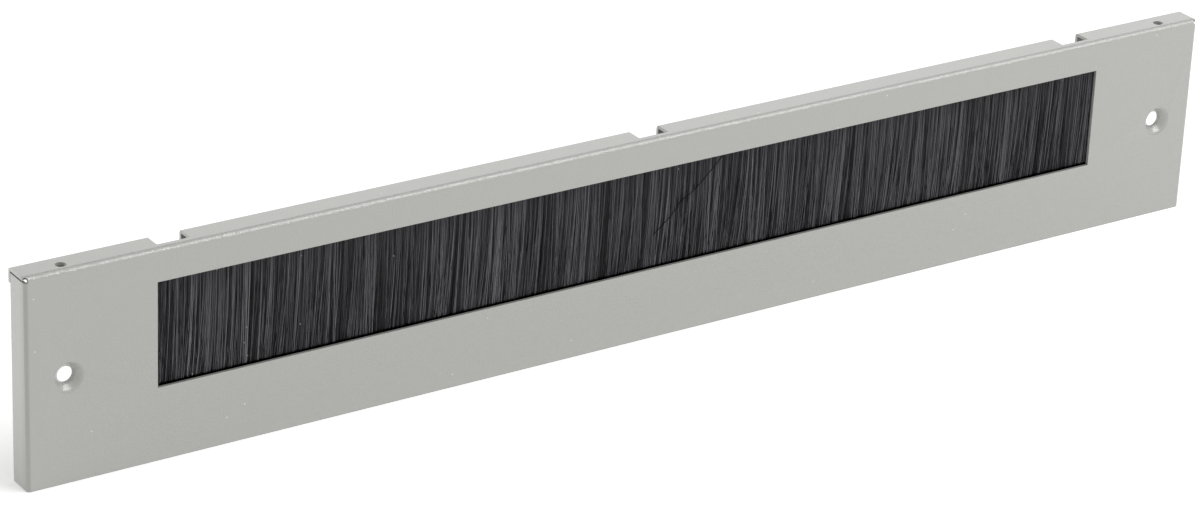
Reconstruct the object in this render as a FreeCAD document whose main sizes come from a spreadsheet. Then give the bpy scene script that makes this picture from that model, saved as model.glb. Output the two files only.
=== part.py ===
import FreeCAD, Part
import os
import Sketcher

os.makedirs("parts", exist_ok=True)
doc = FreeCAD.newDocument("RackBrushPanel")
vec = FreeCAD.Vector

# Driving dimensions, millimetres
driving = {
    "panelLength": 640.0,
    "panelHeight": 100.0,
    "sheetThick": 1.5,
    "bendInner": 0.3,
    "flangeDepth": 15.0,
    "lipHeight": 7.0,
    "sideGap": 0.8,
    "reliefHoleR": 1.0,
    "reliefInset": 1.1,
    "windowEndMargin": 62.5,
    "windowTopMargin": 15.0,
    "windowHeight": 50.0,
    "screwInset": 20.0,
    "screwHoleR": 3.75,
    "dimpleR": 7.4,
    "topHoleR": 2.4,
    "topHoleY": 6.4,
    "notchWidth": 16.0,
    "notchStrip": 5.4,
    "brushOverlap": 7.5,
    "fixingInset": 18.0,
    "channelWidth": 4.4,
    "channelHeight": 3.8,
    "channelWall": 0.5,
    "jawHeight": 0.9,
    "wireR": 0.7,
    "fitGap": 0.1,
    "slideGap": 0.2,
    "railWall": 1.0,
    "railWeb": 1.5,
    "railLip": 0.7,
    "curtainOverlap": 5.0,
    "curtainSpread": 5.8,
    "curtainEndInset": 0.5,
    "ridgePitch": 2.5,
    "ridgeDepth": 0.4,
    "studR": 1.5,
    "studLength": 8.0,
    "studFlangeR": 2.25,
    "studFlangeThick": 0.7,
    "studBelowTop": 5.8,
    "studChamfer": 0.4,
    "washerR": 3.5,
    "washerHoleR": 1.6,
    "washerThick": 0.5,
    "springR": 3.0,
    "springThick": 0.8,
    "springSplit": 14.0,
    "nutFlats": 5.5,
    "nutHeight": 2.4,
    "nutChamfer": 0.35,
    "foldGap": 0.3,
    "cutMargin": 1.0,
}

# Dimensions that follow from the driving ones
derived = {
    "halfLength": "=panelLength / 2",
    "bendOuter": "=bendInner + sheetThick",
    "innerX": "=halfLength - sheetThick",
    "endX": "=halfLength + cutMargin",
    "flatX": "=halfLength - bendOuter - cutMargin / 2",
    "flangeUnder": "=panelHeight - sheetThick",
    "flatTop": "=panelHeight - bendOuter",
    "lipBottom": "=panelHeight - lipHeight",
    "lipInner": "=flangeDepth - sheetThick",
    "sideDepth": "=lipInner - foldGap",
    "sideTop": "=flangeUnder - sideGap",
    "bendX": "=halfLength - bendOuter",
    "reliefX": "=halfLength - reliefInset",
    "reliefZ": "=panelHeight - reliefInset",
    "overTop": "=panelHeight + cutMargin",
    "halfWindow": "=halfLength - windowEndMargin",
    "windowTop": "=panelHeight - windowTopMargin",
    "windowBottom": "=windowTop - windowHeight",
    "screwX": "=halfLength - screwInset",
    "screwZ": "=panelHeight / 2",
    "dimpleDepth": "=dimpleR - screwHoleR",
    "dimpleBackR": "=dimpleR - sheetThick + sheetThick * sqrt(2)",
    "dimpleEndR": "=screwHoleR + sheetThick / sqrt(2)",
    "dimpleBackHeight": "=dimpleDepth - sheetThick + sheetThick / sqrt(2)",
    "halfBrush": "=halfWindow + brushOverlap",
    "brushLength": "=2 * halfBrush",
    "fixingX": "=halfBrush - fixingInset",
    "notchRight": "=fixingX + notchWidth / 2",
    "notchLeft": "=fixingX - notchWidth / 2",
    "halfNotch": "=notchWidth / 2",
    "notchBack": "=flangeDepth + cutMargin",
    "railFront": "=sheetThick",
    "railFace": "=sheetThick + railWeb",
    "railTop": "=flatTop - fitGap",
    "railRearInner": "=railFace + channelWidth + slideGap",
    "railRear": "=railRearInner + railWall",
    "railBottom": "=windowTop",
    "lipTop": "=railBottom + railLip",
    "lipReach": "=railFace + railLip",
    "lipReachRear": "=railRearInner - railLip",
    "channelTop": "=lipTop + channelHeight",
    "roofUnder": "=channelTop + fitGap",
    "roofTop": "=roofUnder + railWall",
    "channelRear": "=railFace + channelWidth",
    "brushY": "=railFace + channelWidth / 2",
    "channelInnerFront": "=railFace + channelWall",
    "channelInnerRear": "=channelRear - channelWall",
    "channelRoof": "=channelTop - channelWall",
    "jawTop": "=lipTop + jawHeight",
    "jawFront": "=channelInnerFront + channelWall / 2",
    "jawRear": "=channelInnerRear - channelWall / 2",
    "foldR": "=channelWidth / 2 - channelWall - fitGap",
    "wireZ": "=channelRoof - fitGap - foldR",
    "mouthHalf": "=channelWidth / 2 - channelWall * 1.5 - fitGap",
    "studZ": "=panelHeight - studBelowTop",
    "studHoleR": "=studFlangeR + slideGap",
    "studFlangeTop": "=railFront + studFlangeThick",
    "studTip": "=railFront + studLength",
    "studShoulder": "=studTip - studChamfer",
    "studTipR": "=studR - studChamfer",
    "washerFront": "=railFace",
    "springFront": "=washerFront + washerThick",
    "nutFront": "=springFront + springThick",
    "nutRear": "=nutFront + nutHeight",
    "nutHalfFlat": "=nutFlats / 2",
    "nutCornerR": "=nutFlats / sqrt(3)",
    "nutHalfCorner": "=nutCornerR / 2",
    "nutCutR": "=nutCornerR + nutChamfer",
    "nutFrontCut": "=nutFront + nutChamfer * 1.5",
    "nutRearCut": "=nutRear - nutChamfer * 1.5",
    "curtainBottom": "=windowBottom - curtainOverlap",
    "springTurn": "=360 - springSplit",
    "nutHoleR": "=studR + fitGap / 2",
    "springHoleR": "=studR + fitGap",
}

sheet = doc.addObject("Spreadsheet::Sheet", "sizes")
row = 0
for alias, content in list(driving.items()) + list(derived.items()):
    row += 1
    sheet.set("A%d" % row, alias)
    sheet.set("B%d" % row, str(content))
    sheet.setAlias("B%d" % row, alias)
doc.recompute()


def size(name):
    return float(sheet.get(name))


def measure(token):
    # a token is a size name, with a leading minus where the coordinate is negative, or 0
    if token == "0":
        return 0.0, None
    if token.startswith("-"):
        return -size(token[1:]), "-sizes." + token[1:]
    return size(token), "sizes." + token


def newBody(name):
    body = doc.addObject("PartDesign::Body", name)
    body.Label = name
    return body


def sketchOn(body, name, role, lift=None):
    sketch = body.newObject("Sketcher::SketchObject", name)
    plane = [item for item in body.Origin.OriginFeatures if item.Role == role][0]
    sketch.AttachmentSupport = [(plane, "")]
    sketch.MapMode = "FlatFace"
    if lift:
        sketch.setExpression("AttachmentOffset.Base.z", lift)
    return sketch


def pin(sketch, geometry, point, tokens):
    for kind, token in zip(("DistanceX", "DistanceY"), tokens):
        value, rule = measure(token)
        if rule is None and kind == "DistanceX":
            sketch.addConstraint(Sketcher.Constraint("PointOnObject", geometry, point, -2))
        elif rule is None:
            sketch.addConstraint(Sketcher.Constraint("PointOnObject", geometry, point, -1))
        else:
            at = sketch.addConstraint(Sketcher.Constraint(kind, -1, 1, geometry, point, value))
            sketch.setExpression("Constraints[%d]" % at, rule)


def drawOutline(sketch, corners):
    # closed outline, each corner pinned to two named sizes
    points = [vec(measure(a)[0], measure(b)[0], 0) for a, b in corners]
    first = None
    count = len(points)
    lines = []
    for k in range(count):
        lines.append(sketch.addGeometry(Part.LineSegment(points[k], points[(k + 1) % count]), False))
    for k in range(count):
        sketch.addConstraint(Sketcher.Constraint("Coincident", lines[k], 2, lines[(k + 1) % count], 1))
    for k in range(count):
        pin(sketch, lines[k], 1, corners[k])


def drawBox(sketch, left, right, low, high):
    drawOutline(sketch, [(left, low), (right, low), (right, high), (left, high)])


def drawCircle(sketch, centre, radius):
    middle = vec(measure(centre[0])[0], measure(centre[1])[0], 0)
    ring = sketch.addGeometry(Part.Circle(middle, vec(0, 0, 1), size(radius)), False)
    at = sketch.addConstraint(Sketcher.Constraint("Radius", ring, size(radius)))
    sketch.setExpression("Constraints[%d]" % at, "sizes." + radius)
    pin(sketch, ring, 3, centre)


def symmetric(body, kind, name, profile, rule):
    feature = body.newObject("PartDesign::" + kind, name)
    feature.Profile = profile
    feature.SideType = "Symmetric"
    feature.setExpression("Length", rule)
    doc.recompute()
    return feature


def roundEdges(body, name, source, wanted, rule):
    # rounds the edges whose middle point and direction pass the test
    names = []
    for number, edge in enumerate(source.Shape.Edges, 1):
        if len(edge.Vertexes) == 2 and wanted(edge):
            names.append("Edge%d" % number)
    fillet = body.newObject("PartDesign::Fillet", name)
    fillet.Base = (source, names)
    fillet.setExpression("Radius", rule)
    doc.recompute()
    return fillet


def liesAlong(edge, first, firstAt, second, secondAt):
    # true where both ends of the edge have the two given coordinates
    tiny = 0.01
    ends = [vertex.Point for vertex in edge.Vertexes]
    return all(abs(getattr(end, first) - firstAt) < tiny and abs(getattr(end, second) - secondAt) < tiny
               for end in ends)


def turned(body, name, sketch, degrees):
    feature = body.newObject("PartDesign::Revolution", name)
    feature.Profile = sketch
    feature.ReferenceAxis = (sketch, ["V_Axis"])
    feature.setExpression("Angle", degrees)
    doc.recompute()
    return feature


# Front panel: the folded section of face, top flange and rear lip
panel = newBody("front_panel")
section = sketchOn(panel, "panel_section", "YZ_Plane")
drawOutline(section, [
    ("0", "0"),
    ("0", "panelHeight"),
    ("flangeDepth", "panelHeight"),
    ("flangeDepth", "lipBottom"),
    ("lipInner", "lipBottom"),
    ("lipInner", "flangeUnder"),
    ("sheetThick", "flangeUnder"),
    ("sheetThick", "0"),
])
folded = symmetric(panel, "Pad", "folded_section", section, "sizes.panelLength")
top = size("panelHeight")
under = size("flangeUnder")
outerBends = roundEdges(
    panel, "outer_bends", folded,
    lambda edge: liesAlong(edge, "y", 0, "z", top) or liesAlong(edge, "y", size("flangeDepth"), "z", top),
    "sizes.bendOuter")
innerBends = roundEdges(
    panel, "inner_bends", outerBends,
    lambda edge: liesAlong(edge, "y", size("sheetThick"), "z", under)
    or liesAlong(edge, "y", size("lipInner"), "z", under),
    "sizes.bendInner")

# The face stops short at both ends and the side flanges carry on from it
ends = sketchOn(panel, "face_ends", "XZ_Plane")
for sign in ("-", ""):
    drawOutline(ends, [
        (sign + "endX", "-cutMargin"),
        (sign + "flatX", "-cutMargin"),
        (sign + "flatX", "sideTop"),
        (sign + "bendX", "sideTop"),
        (sign + "bendX", "flatTop"),
        (sign + "endX", "flatTop"),
    ])
symmetric(panel, "Pocket", "face_end_cuts", ends, "4 * sizes.sheetThick")
sides = sketchOn(panel, "side_sections", "XY_Plane")
for sign in ("-", ""):
    drawOutline(sides, [
        (sign + "halfLength", "0"),
        (sign + "flatX", "0"),
        (sign + "flatX", "sheetThick"),
        (sign + "innerX", "sheetThick"),
        (sign + "innerX", "sideDepth"),
        (sign + "halfLength", "sideDepth"),
    ])
flanges = panel.newObject("PartDesign::Pad", "side_flanges")
flanges.Profile = sides
flanges.setExpression("Length", "sizes.sideTop")
doc.recompute()
outerSide = roundEdges(
    panel, "outer_side_bends", flanges,
    lambda edge: liesAlong(edge, "y", 0, "x", size("halfLength"))
    or liesAlong(edge, "y", 0, "x", -size("halfLength")),
    "sizes.bendOuter")
innerSide = roundEdges(
    panel, "inner_side_bends", outerSide,
    lambda edge: liesAlong(edge, "y", size("sheetThick"), "x", size("innerX"))
    or liesAlong(edge, "y", size("sheetThick"), "x", -size("innerX")),
    "sizes.bendInner")

# Window, tool notches over the brush fixings, plain holes and corner relief holes
window = sketchOn(panel, "window_outline", "XZ_Plane")
drawBox(window, "-halfWindow", "halfWindow", "windowBottom", "windowTop")
symmetric(panel, "Pocket", "window", window, "4 * sizes.sheetThick")
notches = sketchOn(panel, "notch_outlines", "XY_Plane")
drawBox(notches, "-notchRight", "-notchLeft", "notchStrip", "notchBack")
drawBox(notches, "-halfNotch", "halfNotch", "notchStrip", "notchBack")
drawBox(notches, "notchLeft", "notchRight", "notchStrip", "notchBack")
symmetric(panel, "Pocket", "notches", notches, "2 * sizes.panelHeight + 2 * sizes.cutMargin")
topHoles = sketchOn(panel, "top_hole_outlines", "XY_Plane")
reliefs = sketchOn(panel, "relief_outlines", "XZ_Plane")
corners = sketchOn(panel, "corner_outlines", "XZ_Plane")
for sign in ("-", ""):
    drawCircle(topHoles, (sign + "screwX", "topHoleY"), "topHoleR")
    drawCircle(reliefs, (sign + "reliefX", "reliefZ"), "reliefHoleR")
    drawBox(corners, sign + "reliefX", sign + "endX", "sideTop", "overTop")
symmetric(panel, "Pocket", "top_holes", topHoles, "2 * sizes.panelHeight + 2 * sizes.cutMargin")
symmetric(panel, "Pocket", "corner_reliefs", reliefs, "4 * sizes.sheetThick")
symmetric(panel, "Pocket", "corner_openings", corners, "2 * sizes.bendOuter")

# Formed dimples for countersunk screws, the sheet pressed back into a cone of even thickness
facing = FreeCAD.Rotation(vec(1, 0, 0), -90)
coneParts = [
    ("PartDesign::AdditiveCone", "back", "sheetThick", "dimpleBackR", "dimpleEndR", "dimpleBackHeight"),
    ("PartDesign::SubtractiveCone", "front", None, "dimpleR", "screwHoleR", "dimpleDepth"),
]
for kind, face, start, wide, narrow, tall in coneParts:
    for side, sign in (("left", "-"), ("right", "")):
        cone = panel.newObject(kind, "dimple_%s_%s" % (face, side))
        cone.Placement = FreeCAD.Placement(vec(0, 0, 0), facing)
        cone.setExpression("Radius1", "sizes." + wide)
        cone.setExpression("Radius2", "sizes." + narrow)
        cone.setExpression("Height", "sizes." + tall)
        cone.setExpression("Placement.Base.x", sign + "sizes.screwX")
        cone.setExpression("Placement.Base.z", "sizes.screwZ")
        if start:
            cone.setExpression("Placement.Base.y", "sizes." + start)
        doc.recompute()
screwHoles = sketchOn(panel, "screw_hole_outlines", "XZ_Plane")
for sign in ("-", ""):
    drawCircle(screwHoles, (sign + "screwX", "screwZ"), "screwHoleR")
symmetric(panel, "Pocket", "screw_holes", screwHoles, "4 * sizes.dimpleR")

# Rail that carries the brush
rail = newBody("brush_holder")
railSection = sketchOn(rail, "rail_section", "YZ_Plane")
drawOutline(railSection, [
    ("railFront", "railBottom"),
    ("lipReach", "railBottom"),
    ("lipReach", "lipTop"),
    ("railFace", "lipTop"),
    ("railFace", "roofUnder"),
    ("railRearInner", "roofUnder"),
    ("railRearInner", "lipTop"),
    ("lipReachRear", "lipTop"),
    ("lipReachRear", "railBottom"),
    ("railRear", "railBottom"),
    ("railRear", "roofTop"),
    ("railFace", "roofTop"),
    ("railFace", "railTop"),
    ("railFront", "railTop"),
])
symmetric(rail, "Pad", "rail_length", railSection, "sizes.brushLength")
railHoles = sketchOn(rail, "rail_hole_outlines", "XZ_Plane")
for centre in ("-fixingX", "0", "fixingX"):
    drawCircle(railHoles, (centre, "studZ"), "studHoleR")
symmetric(rail, "Pocket", "rail_holes", railHoles, "2 * sizes.railFace + 2 * sizes.cutMargin")

# Crimped back of the brush
channel = newBody("brush_channel")
channelSection = sketchOn(channel, "channel_section", "YZ_Plane")
drawOutline(channelSection, [
    ("railFace", "lipTop"),
    ("railFace", "channelTop"),
    ("channelRear", "channelTop"),
    ("channelRear", "lipTop"),
    ("jawRear", "lipTop"),
    ("channelInnerRear", "jawTop"),
    ("channelInnerRear", "channelRoof"),
    ("channelInnerFront", "channelRoof"),
    ("channelInnerFront", "jawTop"),
    ("jawFront", "lipTop"),
])
channelPad = symmetric(channel, "Pad", "channel_length", channelSection, "sizes.brushLength")
roundEdges(
    channel, "channel_corners", channelPad,
    lambda edge: liesAlong(edge, "z", size("channelTop"), "y", size("railFace"))
    or liesAlong(edge, "z", size("channelTop"), "y", size("channelRear")),
    "sizes.channelWall")

# Wire that the filaments are folded around
wire = newBody("core_wire")
wireSection = sketchOn(wire, "wire_section", "YZ_Plane")
drawCircle(wireSection, ("brushY", "wireZ"), "wireR")
symmetric(wire, "Pad", "wire_length", wireSection, "sizes.brushLength")


# Filaments: a fold over the wire, then a ridged curtain that spreads towards the tips
def ridgedLoop(half, level):
    reach = size("halfBrush") - size("curtainEndInset")
    count = int(round(2 * reach / size("ridgePitch")))
    pitch = 2 * reach / count
    middle = size("brushY")
    valley = half - size("ridgeDepth")
    front = []
    back = []
    for k in range(count):
        x = -reach + k * pitch
        front.append(vec(x, middle - half, level))
        front.append(vec(x + pitch / 2, middle - valley, level))
        back.append(vec(x, middle + half, level))
        back.append(vec(x + pitch / 2, middle + valley, level))
    front.append(vec(reach, middle - half, level))
    back.append(vec(reach, middle + half, level))
    points = front + back[::-1]
    return Part.makePolygon(points + [points[0]])


def foldedTop():
    reach = size("halfBrush") - size("curtainEndInset")
    middle = size("brushY")
    fold = size("foldR")
    mouth = size("mouthHalf")
    axis = size("wireZ")
    low = size("lipTop")
    crown = Part.Arc(vec(-reach, middle - fold, axis), vec(-reach, middle, axis + fold),
                     vec(-reach, middle + fold, axis)).toShape()
    legs = Part.makePolygon([vec(-reach, middle + fold, axis), vec(-reach, middle + mouth, low),
                             vec(-reach, middle - mouth, low), vec(-reach, middle - fold, axis)])
    face = Part.Face(Part.Wire([crown] + legs.Edges))
    solid = face.extrude(vec(2 * reach, 0, 0))
    tunnel = Part.makeCylinder(size("wireR") + size("fitGap"), 2 * size("brushLength"),
                               vec(-size("brushLength"), middle, axis), vec(1, 0, 0))
    return solid.cut(tunnel)


curtain = doc.addObject("Part::Feature", "bristle_curtain")
curtain.Label = "bristle_curtain"
loose = Part.makeLoft([ridgedLoop(size("mouthHalf"), size("lipTop")),
                       ridgedLoop(size("curtainSpread") / 2, size("curtainBottom"))], True, True)
curtain.Shape = foldedTop().fuse(loose)

# Three sets of fixings, one behind each notch
nodes = [panel, curtain, wire, channel, rail]
places = {"left": "-sizes.fixingX", "middle": "0 mm", "right": "sizes.fixingX"}
for place, across in places.items():
    stud = newBody("weld_stud_" + place)
    studSection = sketchOn(stud, "stud_section_" + place, "XY_Plane")
    drawOutline(studSection, [
        ("0", "railFront"),
        ("studFlangeR", "railFront"),
        ("studFlangeR", "studFlangeTop"),
        ("studR", "studFlangeTop"),
        ("studR", "studShoulder"),
        ("studTipR", "studTip"),
        ("0", "studTip"),
    ])
    turned(stud, "stud_body_" + place, studSection, "360")
    flat = newBody("flat_washer_" + place)
    flatSection = sketchOn(flat, "flat_section_" + place, "XY_Plane")
    drawBox(flatSection, "washerHoleR", "washerR", "washerFront", "springFront")
    turned(flat, "flat_ring_" + place, flatSection, "360")
    spring = newBody("spring_washer_" + place)
    springSection = sketchOn(spring, "spring_section_" + place, "XY_Plane")
    drawBox(springSection, "springHoleR", "springR", "springFront", "nutFront")
    turned(spring, "spring_ring_" + place, springSection, "sizes.springTurn")
    nut = newBody("hex_nut_" + place)
    nutSection = sketchOn(nut, "nut_section_" + place, "XZ_Plane", "-sizes.nutFront")
    drawOutline(nutSection, [
        ("nutCornerR", "0"),
        ("nutHalfCorner", "nutHalfFlat"),
        ("-nutHalfCorner", "nutHalfFlat"),
        ("-nutCornerR", "0"),
        ("-nutHalfCorner", "-nutHalfFlat"),
        ("nutHalfCorner", "-nutHalfFlat"),
    ])
    drawCircle(nutSection, ("0", "0"), "nutHoleR")
    nutPad = nut.newObject("PartDesign::Pad", "nut_block_" + place)
    nutPad.Profile = nutSection
    nutPad.Reversed = True
    nutPad.setExpression("Length", "sizes.nutHeight")
    doc.recompute()
    cornerSection = sketchOn(nut, "nut_corners_" + place, "XY_Plane")
    drawOutline(cornerSection, [("nutHalfFlat", "nutRear"), ("nutCutR", "nutRear"), ("nutCutR", "nutRearCut")])
    drawOutline(cornerSection, [("nutHalfFlat", "nutFront"), ("nutCutR", "nutFront"), ("nutCutR", "nutFrontCut")])
    chamfers = nut.newObject("PartDesign::Groove", "nut_chamfers_" + place)
    chamfers.Profile = cornerSection
    chamfers.ReferenceAxis = (cornerSection, ["V_Axis"])
    for body in (stud, flat, spring, nut):
        body.setExpression("Placement.Base.x", across)
        body.setExpression("Placement.Base.z", "sizes.studZ")
        nodes.append(body)
doc.recompute()

for item in doc.Objects:
    if "Invalid" in item.State or "Error" in item.State:
        raise RuntimeError("did not build: " + item.Name)
for node in nodes:
    shape = node.Shape
    if shape.isNull() or not shape.isValid() or len(shape.Solids) != 1:
        raise RuntimeError("not one good solid: " + node.Label)
    shape.exportStep("parts/%s.step" % node.Label)
    box = shape.BoundBox
    print("%-22s %8.1f x %5.1f x %6.1f  %9.0f mm3" % (node.Label, box.XLength, box.YLength, box.ZLength, shape.Volume))
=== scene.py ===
import bmesh
import bpy
import math
from mathutils import Matrix, Vector


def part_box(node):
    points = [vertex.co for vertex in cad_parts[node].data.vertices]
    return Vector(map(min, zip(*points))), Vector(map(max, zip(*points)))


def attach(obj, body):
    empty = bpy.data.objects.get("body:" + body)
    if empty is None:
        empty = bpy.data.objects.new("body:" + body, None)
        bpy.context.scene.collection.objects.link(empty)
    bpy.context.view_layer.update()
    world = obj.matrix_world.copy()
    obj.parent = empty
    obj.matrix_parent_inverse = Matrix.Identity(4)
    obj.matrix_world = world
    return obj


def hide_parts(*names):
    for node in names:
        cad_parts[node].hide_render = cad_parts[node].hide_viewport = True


# Lengths are in metres, angles in degrees and colours linear

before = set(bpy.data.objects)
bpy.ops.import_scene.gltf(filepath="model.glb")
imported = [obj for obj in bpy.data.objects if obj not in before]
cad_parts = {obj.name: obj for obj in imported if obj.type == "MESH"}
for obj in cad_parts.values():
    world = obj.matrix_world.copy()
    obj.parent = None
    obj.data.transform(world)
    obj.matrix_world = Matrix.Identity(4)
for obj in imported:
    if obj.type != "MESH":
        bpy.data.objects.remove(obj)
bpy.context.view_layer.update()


# Helpers

def feed(tree, socket, value):
    # a socket takes a constant or the output of another node
    if isinstance(value, bpy.types.NodeSocket):
        tree.links.new(value, socket)
    else:
        socket.default_value = value


def node(tree, kind, inputs=None, **settings):
    made = tree.nodes.new(kind)
    for key, value in settings.items():
        setattr(made, key, value)
    for label, value in (inputs or {}).items():
        feed(tree, made.inputs[label], value)
    return made


def mathsIn(tree):
    # gives one tree a short way to write its maths nodes
    def maths(operation, *values):
        return node(tree, "ShaderNodeMath", dict(enumerate(values)), operation=operation).outputs[0]
    return maths


def ramped(tree, value, places, shape):
    # 0 up to the first place and 1 from the second on
    made = node(tree, "ShaderNodeMapRange", {
        "Value": value, "From Min": places[0], "From Max": places[1],
    }, interpolation_type=shape)
    return made.outputs["Result"]


def mixed(tree, factor, first, second, blend="MIX"):
    # the node's colours are its sockets 6 and 7, and the mixed one comes out at 2
    made = node(tree, "ShaderNodeMix", {0: factor, 6: first, 7: second}, data_type="RGBA", blend_type=blend)
    return made.outputs[2]


def shortOf(edge, gaps):
    return [edge - gap for gap in gaps]


def past(edge, gaps):
    return [edge + gap for gap in gaps]


def objectCoordinates(tree):
    return node(tree, "ShaderNodeTexCoord").outputs["Object"]


def material(name, sockets):
    made = bpy.data.materials.new(name)
    made.use_nodes = True
    tree = made.node_tree
    shader = tree.nodes["Principled BSDF"]
    for label, value in sockets.items():
        feed(tree, shader.inputs[label], value)
    return made, tree, shader


def plainMaterial(name, sockets):
    return material(name, sockets)[0]


def linkObject(name, content):
    made = bpy.data.objects.new(name, content)
    bpy.context.scene.collection.objects.link(made)
    return made


def settled(host, name):
    # keeps what a host's modifiers or a curve's bevel make, as a plain mesh
    shown = host.evaluated_get(bpy.context.evaluated_depsgraph_get())
    mesh = bpy.data.meshes.new_from_object(shown)
    bpy.data.objects.remove(host)
    return linkObject(name, mesh)


def meshFrom(work, name):
    mesh = bpy.data.meshes.new(name)
    work.to_mesh(mesh)
    work.free()
    return mesh


def paint(target, look):
    target.data.materials.clear()
    target.data.materials.append(look)


# Panel: the CAD shape with its cut edges softened by the coat

panelLook = {
    "colour": (0.345, 0.350, 0.328),
    "roughness": 0.28,
    "specular": 0.9,
    "coatWeight": 0.55,
    "coatRoughness": 0.1,
    "grainScale": 1300.0,
    "grainDetail": 2.0,
    "grainDepth": 0.00035,
    "grainStrength": 0.5,
    "bendGrainGain": 2.0,
    "bendGrain": 900.0,
    "speckColour": (0.62, 0.62, 0.6),
    "speckCell": 110.0,
    "speckSize": 0.04,
    "speckShare": 0.4,
    # painted shade: how much darker the coat is drawn at the top bend, the side bends and the window's cut
    # sill
    "topBendShade": 0.48,
    "sideBendShade": 0.18,
    "sillShade": 0.35,
    "edgeRound": 0.00028,
    "edgeSteps": 3,
    "edgeAngle": 50.0,
    "flatAngle": 0.5,
    "mergeGap": 0.000001,
    "largeFaceWeight": 100,
    # where each effect on the bends, the grain and the painted shade, starts and is full: behind the face,
    # below the top, short of the ends
    "grainBehind": (0.0032, 0.0018),
    "grainBelow": (0.0022, 0.0012),
    "lineBehind": (0.0013, 0.0021),
    "lineFades": (0.0036, 0.0027),
    "lineBelow": (0.0016, 0.0010),
    "bandBehind": (0.0065, 0.0010),
    "bandShort": (0.0022, 0.0006),
    # the same for the painted shade on the window's cut sill: off its level, behind the face, past the
    # window's ends
    "sillOff": (0.0004, 0.0001),
    "sillBehind": (0.0002, 0.0005),
    "sillPast": (0.0050, 0.0010),
}
window = {"half": 0.255, "sill": 0.035}  # half of its length, and the level of its lower edge


def powderCoat(name, look, top, end):
    made, tree, shader = material(name, {
        "Roughness": look["roughness"],
        "Specular IOR Level": look["specular"],
        "Coat Weight": look["coatWeight"],
        "Coat Roughness": look["coatRoughness"],
    })
    maths = mathsIn(tree)
    where = objectCoordinates(tree)
    parts = node(tree, "ShaderNodeSeparateXYZ", {0: where}).outputs
    across, depth, height = maths("ABSOLUTE", parts["X"]), parts["Y"], parts["Z"]

    def within(value, places):
        return ramped(tree, value, places, "SMOOTHSTEP")

    # fine grain, stronger on the top bend
    grain = node(tree, "ShaderNodeTexNoise", {
        "Vector": where, "Scale": look["grainScale"], "Detail": look["grainDetail"],
    })
    onBend = within(depth, look["grainBehind"])
    onBend = maths("MULTIPLY", onBend, within(height, shortOf(top, look["grainBelow"])))
    gain = maths("ADD", maths("MULTIPLY", onBend, look["bendGrainGain"] - 1.0), 1.0)
    bump = node(tree, "ShaderNodeBump", {
        "Strength": look["grainStrength"],
        "Distance": look["grainDepth"],
        "Height": maths("MULTIPLY", grain.outputs["Fac"], gain),
    })
    for label in ("Normal", "Coat Normal"):
        feed(tree, shader.inputs[label], bump.outputs["Normal"])

    # a few pale nibs in the coat
    cells = node(tree, "ShaderNodeTexVoronoi", {"Vector": where, "Scale": look["speckCell"]})
    near = maths("LESS_THAN", cells.outputs["Distance"], look["speckSize"])
    draw = node(tree, "ShaderNodeSeparateColor", {"Color": cells.outputs["Color"]}).outputs["Red"]
    nibs = maths("MULTIPLY", near, maths("LESS_THAN", draw, look["speckShare"]))
    speckled = mixed(tree, nibs, (*look["colour"], 1), (*look["speckColour"], 1))

    # painted shade: a grained darker line behind the top bend and a soft darker band at the side bends,
    # where the bends reflect and catch less light, and a darker cut sill, which gets less light beside the
    # bristles
    coarse = node(tree, "ShaderNodeTexNoise", {"Vector": where, "Scale": look["bendGrain"]})
    topBendShadeLine = maths("MULTIPLY", within(depth, look["lineBehind"]), within(depth, look["lineFades"]))
    topBendShadeLine = maths("MULTIPLY", topBendShadeLine, within(height, shortOf(top, look["lineBelow"])))
    # the noise averages a half, so the painted shade it carries is doubled
    uneven = maths("MULTIPLY", coarse.outputs["Fac"], 2.0 * look["topBendShade"])
    topBendShadeLine = maths("MULTIPLY", topBendShadeLine, uneven)
    sideBendShadeBand = maths("MULTIPLY", within(depth, look["bandBehind"]),
                     within(across, shortOf(end, look["bandShort"])))
    fromSill = maths("ABSOLUTE", maths("SUBTRACT", height, window["sill"]))
    sill = maths("MULTIPLY", within(fromSill, look["sillOff"]), within(depth, look["sillBehind"]))
    sill = maths("MULTIPLY", sill, within(across, past(window["half"], look["sillPast"])))
    paintedShade = maths("MAXIMUM", topBendShadeLine, maths("MULTIPLY", sideBendShadeBand, look["sideBendShade"]))
    paintedShade = maths("MAXIMUM", paintedShade, maths("MULTIPLY", sill, look["sillShade"]))
    feed(tree, shader.inputs["Base Color"], mixed(tree, paintedShade, speckled, (0, 0, 0, 1)))
    return made


def roundedCopy(nodeName, name, look):
    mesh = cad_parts[nodeName].data.copy()
    work = bmesh.new()
    work.from_mesh(mesh)
    bmesh.ops.remove_doubles(work, verts=work.verts, dist=look["mergeGap"])
    flat = math.radians(look["flatAngle"])
    bmesh.ops.dissolve_limit(work, angle_limit=flat, verts=work.verts, edges=work.edges)
    bent = math.radians(look["edgeAngle"])
    sharp = [edge for edge in work.edges if len(edge.link_faces) == 2 and edge.calc_face_angle(0) > bent]
    bmesh.ops.bevel(work, geom=sharp, offset=look["edgeRound"], segments=look["edgeSteps"],
                    profile=0.5, affect="EDGES", clamp_overlap=True)
    bmesh.ops.triangulate(work, faces=[face for face in work.faces if len(face.verts) > 4])
    bmesh.ops.recalc_face_normals(work, faces=work.faces)
    work.to_mesh(mesh)
    work.free()
    for face in mesh.polygons:
        face.use_smooth = True
    mesh.set_sharp_from_angle(angle=bent)
    # large flat faces keep their own normal, so only the bends and the edges look round
    host = linkObject(name + "Host", mesh)
    even = host.modifiers.new("even", "WEIGHTED_NORMAL")
    even.weight = look["largeFaceWeight"]
    even.keep_sharp = True
    return settled(host, name)


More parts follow.
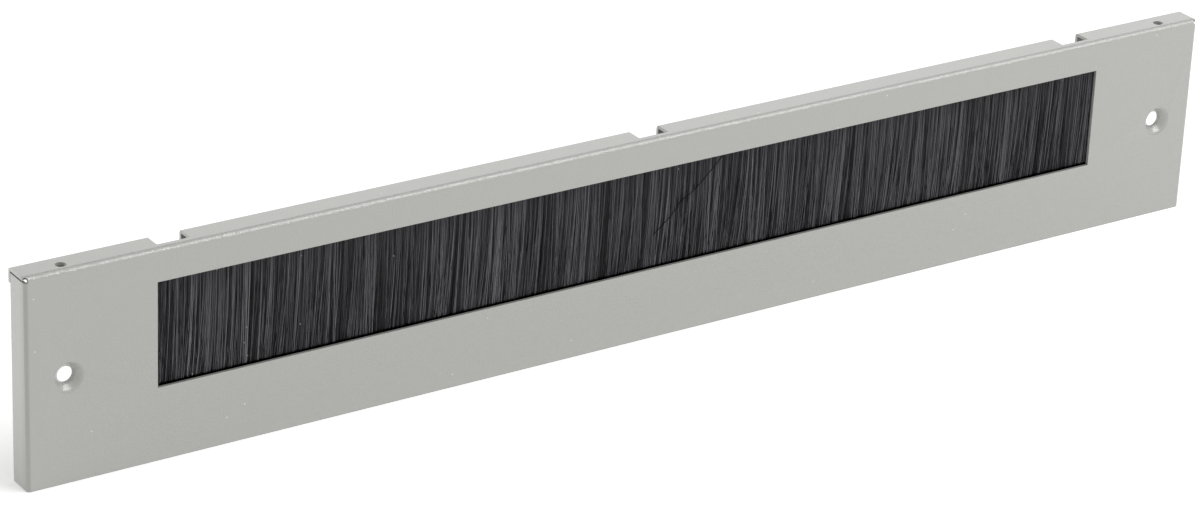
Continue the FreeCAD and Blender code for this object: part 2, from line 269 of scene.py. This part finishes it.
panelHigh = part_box("front_panel")[1]
coat = powderCoat("powderCoat", panelLook, panelHigh[2], panelHigh[0])
panel = roundedCopy("front_panel", "coatedPanel", panelLook)
paint(panel, coat)
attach(panel, "root")
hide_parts("front_panel")
print("panel ready", len(panel.data.polygons))


# Bristles: three layers of thin filaments that hang from the channel's mouth in leaning tufts

bristleLook = {
    # each layer fills its share of the curtain's depth and takes its share of the lean; the layers further
    # back are drawn darker, as painted shade
    "layers": {
        "front": {
            "count": 8000, "seed": 3, "depthShare": (0.0, 0.25), "paintedShade": 1.0, "leanShare": 1.0,
            "radius": 0.00014,
        },
        "middle": {
            "count": 8000, "seed": 7, "depthShare": (0.25, 0.6), "paintedShade": 0.65, "leanShare": 0.7,
            "radius": 0.00017,
        },
        "rear": {
            "count": 8000, "seed": 11, "depthShare": (0.6, 1.0), "paintedShade": 0.7, "leanShare": 0.2,
            "radius": 0.00024,
        },
    },
    "rootTop": 0.0872,
    "rootHalf": 0.00125,
    "endMargin": 0.0016,
    "depthMargin": 0.0002,
    "tipMargin": 0.0001,
    "sides": 3,
    "rings": 4,
    "stray": 1.3,
    "bendPower": 1.5,
    "lean": -0.003,
    "leanShift": 0.004,
    "leanSize": 60.0,
    "clumpShift": 0.00012,
    "clumpSize": 600.0,
    "tuftPitch": 0.0008,
    "tuftHold": 0.75,
    "tuftLean": 0.003,
    "tuftLeanPower": 3.0,
    "tuftTone": 0.4,
    "rootContrast": 0.7,
    "tipContrast": 4.6,
    "endFade": 0.008,
    # painted shade: how much darker the tips are drawn
    "tipShade": 0.4,
    "tipRagged": 0.0022,
    "roughness": 0.38,
    "specular": 0.3,
    "dark": (0.009, 0.009, 0.011),
    "light": (0.190, 0.188, 0.203),
    "toneRange": (0.3, 0.95),
    "creviceAbove": (0.0002, 0.0010),
    "creviceBehind": (0.005, 0.006),
    # how fast the two drifts change through the depth, and an offset that keeps them apart
    "wideTurns": 7.0,
    "narrowTurns": 11.0,
    "narrowOffset": 40.0,
}
# what each random draw adds to the layer's seed
draws = {"share": 1, "across": 2, "turn": 4, "length": 6, "tone": 7, "tuftLean": 8, "tuftTone": 9}


def nylon(name, look):
    made, tree, shader = material(name, {"Roughness": look["roughness"]})
    maths = mathsIn(tree)
    tone = node(tree, "ShaderNodeAttribute", attribute_name="tone")
    ramp = node(tree, "ShaderNodeValToRGB", {"Fac": tone.outputs["Fac"]})
    for at, key in enumerate(("dark", "light")):
        ramp.color_ramp.elements[at].position = look["toneRange"][at]
        ramp.color_ramp.elements[at].color = (*look[key], 1)
    # no light reaches the filaments in the crevice over the window's sill
    parts = node(tree, "ShaderNodeSeparateXYZ", {0: objectCoordinates(tree)}).outputs
    above = ramped(tree, parts["Z"], past(window["sill"], look["creviceAbove"]), "LINEAR")
    behind = ramped(tree, parts["Y"], look["creviceBehind"], "LINEAR")
    reached = maths("MAXIMUM", above, behind)
    feed(tree, shader.inputs["Base Color"], mixed(tree, 1.0, ramp.outputs["Color"], reached, "MULTIPLY"))
    feed(tree, shader.inputs["Specular IOR Level"], maths("MULTIPLY", reached, look["specular"]))
    return made


def geometryTree(name, inputs):
    # named inputs, each a kind with its labels
    tree = bpy.data.node_groups.new(name, "GeometryNodeTree")
    for kind, labels in inputs.items():
        for label in labels:
            tree.interface.new_socket(name=label, in_out="INPUT", socket_type=kind)
    tree.interface.new_socket(name="Geometry", in_out="OUTPUT", socket_type="NodeSocketGeometry")
    return tree


def setInputs(modifier, values):
    for item in modifier.node_group.interface.items_tree:
        if item.item_type == "SOCKET" and item.in_out == "INPUT" and item.name in values:
            modifier[item.identifier] = values[item.name]


def filamentTree(look):
    tree = geometryTree("filaments", {
        "NodeSocketInt": ["Count", "Rings", "Seed"],
        "NodeSocketFloat": [
            "Half Length", "Front", "Back", "Root Front", "Root Back", "Top", "Drop", "Ragged", "Radius",
            "Stray", "Lean", "Lean Shift", "Lean Size", "Clump Shift", "Clump Size", "End Fade",
            "Tuft Pitch", "Tuft Hold", "Tuft Lean", "Tuft Tone",
            "Shade", "Tip Shade", "Root Contrast", "Tip Contrast",
        ],
        "NodeSocketMaterial": ["Look"],
    })
    maths = mathsIn(tree)
    given = node(tree, "NodeGroupInput").outputs

    def chance(draw, low, high, group=None):
        # a float's limits are sockets 2 and 3, and the drawn one comes out at 1
        made = node(tree, "FunctionNodeRandomValue", {2: low, 3: high}, data_type="FLOAT")
        if group is not None:
            feed(tree, made.inputs["ID"], group)
        feed(tree, made.inputs["Seed"], maths("ADD", given["Seed"], draws[draw]))
        return made.outputs[1]

    def eitherWay(draw, reach):
        return chance(draw, maths("MULTIPLY", reach, -1.0), reach)

    def joined(*values):
        return node(tree, "ShaderNodeCombineXYZ", dict(enumerate(values))).outputs[0]

    def between(low, high, share):
        return maths("ADD", low, maths("MULTIPLY", maths("SUBTRACT", high, low), share))

    def stored(geometry, name, value, domain):
        made = node(tree, "GeometryNodeStoreNamedAttribute", {
            "Geometry": geometry, "Name": name, "Value": value,
        }, data_type="FLOAT", domain=domain)
        return made.outputs[0]

    def recalled(name):
        return node(tree, "GeometryNodeInputNamedAttribute", {"Name": name}, data_type="FLOAT").outputs[0]

    # roots: points spread over the mouth of the channel, each remembering how far back it sits
    share = chance("share", 0.0, 1.0)
    across = eitherWay("across", given["Half Length"])
    rootY = between(given["Root Front"], given["Root Back"], share)
    roots = node(tree, "GeometryNodePoints", {
        "Count": given["Count"], "Position": joined(across, rootY, given["Top"]),
    })

    # tufts: neighbours that lean together, close up towards their tips and share some of their tone
    tuft = maths("FLOOR", maths("DIVIDE", across, given["Tuft Pitch"]))
    tuftMiddle = maths("MULTIPLY", maths("ADD", tuft, 0.5), given["Tuft Pitch"])
    closing = maths("MULTIPLY", maths("SUBTRACT", tuftMiddle, across), given["Tuft Hold"])
    leaning = maths("POWER", chance("tuftLean", -1.0, 1.0, tuft), look["tuftLeanPower"])
    pull = maths("ADD", closing, maths("MULTIPLY", leaning, given["Tuft Lean"]))
    ownTone = maths("MULTIPLY", chance("tone", 0.0, 1.0), maths("SUBTRACT", 1.0, given["Tuft Tone"]))
    tuftTone = maths("MULTIPLY", chance("tuftTone", 0.0, 1.0, tuft), given["Tuft Tone"])

    # one straight filament, pointing down from the origin
    tube = node(tree, "GeometryNodeMeshCylinder", {
        "Vertices": look["sides"], "Side Segments": given["Rings"],
        "Radius": given["Radius"], "Depth": given["Drop"],
    }, fill_type="NONE")
    hang = node(tree, "GeometryNodeTransform", {
        "Geometry": tube.outputs["Mesh"],
        "Translation": joined(0.0, 0.0, maths("MULTIPLY", given["Drop"], -0.5)),
    })
    shortest = maths("SUBTRACT", 1.0, maths("DIVIDE", given["Ragged"], given["Drop"]))
    spread = node(tree, "GeometryNodeInstanceOnPoints", {
        "Points": roots.outputs[0],
        "Instance": hang.outputs[0],
        "Rotation": joined(0.0, eitherWay("turn", given["Stray"]), 0.0),
        "Scale": joined(1.0, 1.0, chance("length", shortest, 1.0)),
    })
    kept = stored(spread.outputs[0], "tone", maths("ADD", ownTone, tuftTone), "INSTANCE")
    kept = stored(kept, "share", share, "INSTANCE")
    kept = stored(kept, "pull", pull, "INSTANCE")
    real = node(tree, "GeometryNodeRealizeInstances", {0: kept})

    # fall runs from 0 at the root to 1 at the tip, and the curtain fans out to its full depth with it
    place = node(tree, "GeometryNodeInputPosition").outputs[0]
    parts = node(tree, "ShaderNodeSeparateXYZ", {0: place}).outputs
    fall = maths("DIVIDE", maths("SUBTRACT", given["Top"], parts["Z"]), given["Drop"])
    depthShare = recalled("share")
    tipY = between(given["Front"], given["Back"], depthShare)
    hungY = between(given["Root Front"], given["Root Back"], depthShare)
    outward = maths("MULTIPLY", maths("SUBTRACT", tipY, hungY), fall)

    def drift(shift, size, turns, offset):
        along = maths("ADD", maths("MULTIPLY", parts["X"], size), offset)
        inwards = maths("MULTIPLY", depthShare, turns)
        noise = node(tree, "ShaderNodeTexNoise", {
            "Vector": joined(along, inwards, 0.0), "Scale": 1.0, "Detail": 1.0,
        }, noise_dimensions="2D")
        # the noise runs from 0 to 1, and the drift goes both ways
        return maths("MULTIPLY", maths("MULTIPLY", maths("SUBTRACT", noise.outputs[0], 0.5), 2.0), shift)

    # a wide lean, narrow clumps and the tufts' own pull grow towards the tips and fade at the two ends
    wide = drift(given["Lean Shift"], given["Lean Size"], look["wideTurns"], given["Seed"])
    narrow = drift(given["Clump Shift"], given["Clump Size"], look["narrowTurns"], look["narrowOffset"])
    lean = maths("ADD", maths("ADD", wide, narrow), maths("ADD", recalled("pull"), given["Lean"]))
    ease = maths("POWER", maths("MAXIMUM", fall, 0.0), look["bendPower"])
    toEnd = maths("SUBTRACT", given["Half Length"], maths("ABSOLUTE", parts["X"]))
    fade = maths("MINIMUM", maths("MAXIMUM", maths("DIVIDE", toEnd, given["End Fade"]), 0.0), 1.0)
    sideways = maths("MULTIPLY", maths("MULTIPLY", lean, ease), fade)

    # tones lie further apart towards the tips, and painted shade draws them darker there and in the layers
    # further back
    contrast = between(given["Root Contrast"], given["Tip Contrast"], fall)
    apart = maths("MULTIPLY", maths("SUBTRACT", recalled("tone"), 0.5), contrast)
    tipwards = maths("SUBTRACT", 1.0, maths("MULTIPLY", fall, given["Tip Shade"]))
    tone = maths("MULTIPLY", maths("ADD", apart, 0.5), maths("MULTIPLY", given["Shade"], tipwards))
    bent = node(tree, "GeometryNodeSetPosition", {
        "Geometry": stored(real.outputs[0], "tone", tone, "POINT"),
        "Offset": joined(sideways, outward, 0.0),
    })
    painted = node(tree, "GeometryNodeSetMaterial", {
        "Geometry": bent.outputs[0], "Material": given["Look"],
    })
    node(tree, "NodeGroupOutput", {0: painted.outputs[0]})
    return tree


def grow(name, tree, values):
    # runs the tree once and keeps the plain mesh
    host = linkObject(name + "Host", bpy.data.meshes.new(name + "Host"))
    modifier = host.modifiers.new("grow", "NODES")
    modifier.node_group = tree
    setInputs(modifier, values)
    grown = settled(host, name)
    for face in grown.data.polygons:
        face.use_smooth = True
    return grown


nylonBlack = nylon("blackNylon", bristleLook)
curtainLow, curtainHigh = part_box("bristle_curtain")
print("curtain box", curtainLow, curtainHigh)
filaments = filamentTree(bristleLook)
middleY = (curtainLow[1] + curtainHigh[1]) / 2
halfDepth = (curtainHigh[1] - curtainLow[1]) / 2 - bristleLook["depthMargin"]
shared = {
    "Half Length": curtainHigh[0] - bristleLook["endMargin"],
    "Top": bristleLook["rootTop"],
    "Drop": bristleLook["rootTop"] - curtainLow[2] - bristleLook["tipMargin"],
    "Ragged": bristleLook["tipRagged"],
    "Rings": bristleLook["rings"],
    "Stray": math.radians(bristleLook["stray"]),
    "Lean Size": bristleLook["leanSize"],
    "Clump Size": bristleLook["clumpSize"],
    "End Fade": bristleLook["endFade"],
    "Tip Shade": bristleLook["tipShade"],
    "Tuft Pitch": bristleLook["tuftPitch"],
    "Tuft Tone": bristleLook["tuftTone"],
    "Root Contrast": bristleLook["rootContrast"],
    "Tip Contrast": bristleLook["tipContrast"],
    "Look": nylonBlack,
}
# what shrinks with a layer's share of the lean, so that the layers further back hang straighter
leaningInputs = {
    "Lean": "lean",
    "Lean Shift": "leanShift",
    "Clump Shift": "clumpShift",
    "Tuft Hold": "tuftHold",
    "Tuft Lean": "tuftLean",
}
curtains = []
for part, layer in bristleLook["layers"].items():
    frontShare, backShare = [2 * share - 1 for share in layer["depthShare"]]
    own = {
        "Count": layer["count"],
        "Seed": layer["seed"],
        "Radius": layer["radius"],
        "Shade": layer["paintedShade"],
        "Front": middleY + halfDepth * frontShare,
        "Back": middleY + halfDepth * backShare,
        "Root Front": middleY + bristleLook["rootHalf"] * frontShare,
        "Root Back": middleY + bristleLook["rootHalf"] * backShare,
    }
    for label, key in leaningInputs.items():
        own[label] = bristleLook[key] * layer["leanShare"]
    curtains.append(grow("bristles_" + part, filaments, {**shared, **own}))
for curtain in curtains:
    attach(curtain, "root")
    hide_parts("bristle_curtain")
    print(curtain.name, len(curtain.data.polygons), curtain.bound_box[0][:], curtain.bound_box[6][:])


# A stray filament lies across the front of the curtain, and a few specks of dust cling to it

strayLook = {
    "points": [
        (0.0384, 0.0030, 0.0838), (0.0316, 0.0021, 0.0783), (0.0190, 0.0020, 0.0676),
        (0.0153, 0.0032, 0.0645), (0.0123, 0.0021, 0.0620), (0.0002, 0.0019, 0.0516),
    ],
    "radius": 0.0002,
    "colour": (0.002, 0.002, 0.002),
    "roughness": 0.4,
    "specular": 0.1,
}
dustLook = {
    "places": [
        (-0.2276, 0.0835), (-0.1859, 0.0811), (-0.1391, 0.0708), (-0.1862, 0.0482), (-0.2128, 0.0528),
        (-0.2140, 0.0456), (-0.2124, 0.0390), (-0.2395, 0.0365), (0.0126, 0.0817),
    ],
    "depth": 0.0023,
    "radius": 0.00027,
    "colour": (0.45, 0.45, 0.44),
    "roughness": 0.9,
}
path = bpy.data.curves.new("strayPath", "CURVE")
path.dimensions = "3D"
path.bevel_depth = strayLook["radius"]
path.bevel_resolution = 1
path.use_fill_caps = True
line = path.splines.new("BEZIER")
line.bezier_points.add(len(strayLook["points"]) - 1)
for knot, place in zip(line.bezier_points, strayLook["points"]):
    knot.co = place
    knot.handle_left_type = "AUTO"
    knot.handle_right_type = "AUTO"
strayFilament = settled(linkObject("strayHost", path), "stray_filament")
paint(strayFilament, plainMaterial("strayBlack", {
    "Base Color": (*strayLook["colour"], 1),
    "Roughness": strayLook["roughness"],
    "Specular IOR Level": strayLook["specular"],
}))
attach(strayFilament, "root")

motes = bmesh.new()
for x, z in dustLook["places"]:
    spot = Matrix.Translation((x, dustLook["depth"], z))
    bmesh.ops.create_icosphere(motes, subdivisions=1, radius=dustLook["radius"], matrix=spot)
dust = linkObject("dust_specks", meshFrom(motes, "dust_specks"))
paint(dust, plainMaterial("dustPale", {
    "Base Color": (*dustLook["colour"], 1),
    "Roughness": dustLook["roughness"],
}))
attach(dust, "root")
print("stray filament and dust ready")


# Metal pieces behind the panel keep their CAD shapes

metalLook = {
    "brush_holder": {
        "name": "millAluminium", "colour": (0.72, 0.73, 0.74), "roughness": 0.34,
        "streak": (8.0, 3000.0, 3000.0),
    },
    "brush_channel": {
        "name": "zincStrip", "colour": (0.55, 0.56, 0.57), "roughness": 0.4,
        "streak": (400.0, 400.0, 400.0),
    },
    "core_wire": {"name": "drawnWire", "colour": (0.5, 0.5, 0.5), "roughness": 0.35, "streak": None},
    "fasteners": {"name": "brightZinc", "colour": (0.62, 0.63, 0.65), "roughness": 0.28, "streak": None},
}
streakLook = {"depth": 0.00002, "strength": 0.2}


def metal(look):
    made, tree, shader = material(look["name"], {
        "Base Color": (*look["colour"], 1), "Metallic": 1.0, "Roughness": look["roughness"],
    })
    if look["streak"]:
        stretch = node(tree, "ShaderNodeMapping", {
            "Vector": objectCoordinates(tree), "Scale": look["streak"],
        })
        lines = node(tree, "ShaderNodeTexNoise", {"Vector": stretch.outputs["Vector"], "Scale": 1.0})
        bump = node(tree, "ShaderNodeBump", {
            "Strength": streakLook["strength"], "Distance": streakLook["depth"],
            "Height": lines.outputs["Fac"],
        })
        feed(tree, shader.inputs["Normal"], bump.outputs["Normal"])
    return made


finishes = {name: metal(look) for name, look in metalLook.items()}
finishes["front_panel"] = coat
finishes["bristle_curtain"] = nylonBlack
for name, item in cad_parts.items():
    paint(item, finishes.get(name, finishes["fasteners"]))
print("pieces painted")


# Floor, light and camera

floorLook = {
    "half": 8.0,
    "drop": 0.0002,
    "colour": (0.9, 0.9, 0.9),
    "roughness": 0.9,
    "specular": 0.1,
    "glow": 0.25,
}
lightLook = {
    "keySoftbox": {
        "place": (1.2, -0.97, 2.25), "aim": (0.0, 0.0, 0.05), "size": (2.2, 1.7), "power": 51.0,
    },
    "backSoftbox": {
        "place": (1.6, 1.6, 1.0), "aim": (0.1, 0.0, 0.1), "size": (2.0, 1.2), "power": 1.6,
    },
    "leftSoftbox": {
        "place": (-1.5, 0.5, 0.5), "aim": (-0.3, 0.0, 0.05), "size": (0.8, 0.8), "power": 3.8,
    },
}
domeLook = {
    "strength": 0.55,
    "colour": (1.0, 1.0, 0.99),
    "seenStrength": 1.0,
    "seenColour": (1.0, 1.0, 1.0),
}
cameraLook = {
    "place": (-1.03596, -1.46536, 0.85427),
    "turn": (65.5866, -2.3174, -33.4053),
    "lens": 128.484,
    "sensor": 36.0,
    "clipStart": 0.05,
}


def softLight(name, look):
    lamp = bpy.data.lights.new(name, "AREA")
    lamp.shape = "RECTANGLE"
    lamp.size, lamp.size_y = look["size"]
    lamp.energy = look["power"]
    held = linkObject(name, lamp)
    held.location = look["place"]
    away = Vector(look["place"]) - Vector(look["aim"])
    held.rotation_mode = "QUATERNION"
    held.rotation_quaternion = away.to_track_quat("Z", "Y")


def studioDome(look):
    world = bpy.data.worlds.new("studio")
    bpy.context.scene.world = world
    world.use_nodes = True
    tree = world.node_tree
    lighting = tree.nodes["Background"]
    feed(tree, lighting.inputs["Color"], (*look["colour"], 1))
    feed(tree, lighting.inputs["Strength"], look["strength"])
    seen = node(tree, "ShaderNodeBackground", {
        "Color": (*look["seenColour"], 1), "Strength": look["seenStrength"],
    })
    # the camera, reflections and clear pieces see a white backdrop, which adds no light to dull ones
    ray = node(tree, "ShaderNodeLightPath").outputs
    maths = mathsIn(tree)
    direct = maths("MAXIMUM", ray["Is Glossy Ray"], ray["Is Transmission Ray"])
    direct = maths("MAXIMUM", ray["Is Camera Ray"], direct)
    pick = node(tree, "ShaderNodeMixShader", {0: direct, 1: lighting.outputs[0], 2: seen.outputs[0]})
    feed(tree, tree.nodes["World Output"].inputs["Surface"], pick.outputs[0])


ground = bmesh.new()
bmesh.ops.create_grid(ground, x_segments=1, y_segments=1, size=floorLook["half"])
floor = linkObject("floor", meshFrom(ground, "floor"))
floor.location = (0, 0, -floorLook["drop"])
paint(floor, plainMaterial("floorWhite", {
    "Base Color": (*floorLook["colour"], 1),
    "Roughness": floorLook["roughness"],
    "Specular IOR Level": floorLook["specular"],
    "Emission Color": (1, 1, 1, 1),
    "Emission Strength": floorLook["glow"],
}))
for name, look in lightLook.items():
    softLight(name, look)
studioDome(domeLook)

lens = bpy.data.cameras.new("camera")
lens.lens = cameraLook["lens"]
lens.sensor_width = cameraLook["sensor"]
lens.clip_start = cameraLook["clipStart"]
camera = linkObject("camera", lens)
camera.location = cameraLook["place"]
camera.rotation_euler = [math.radians(angle) for angle in cameraLook["turn"]]
bpy.context.scene.camera = camera
bpy.context.scene.view_settings.view_transform = "Standard"
print("floor, light and camera ready")
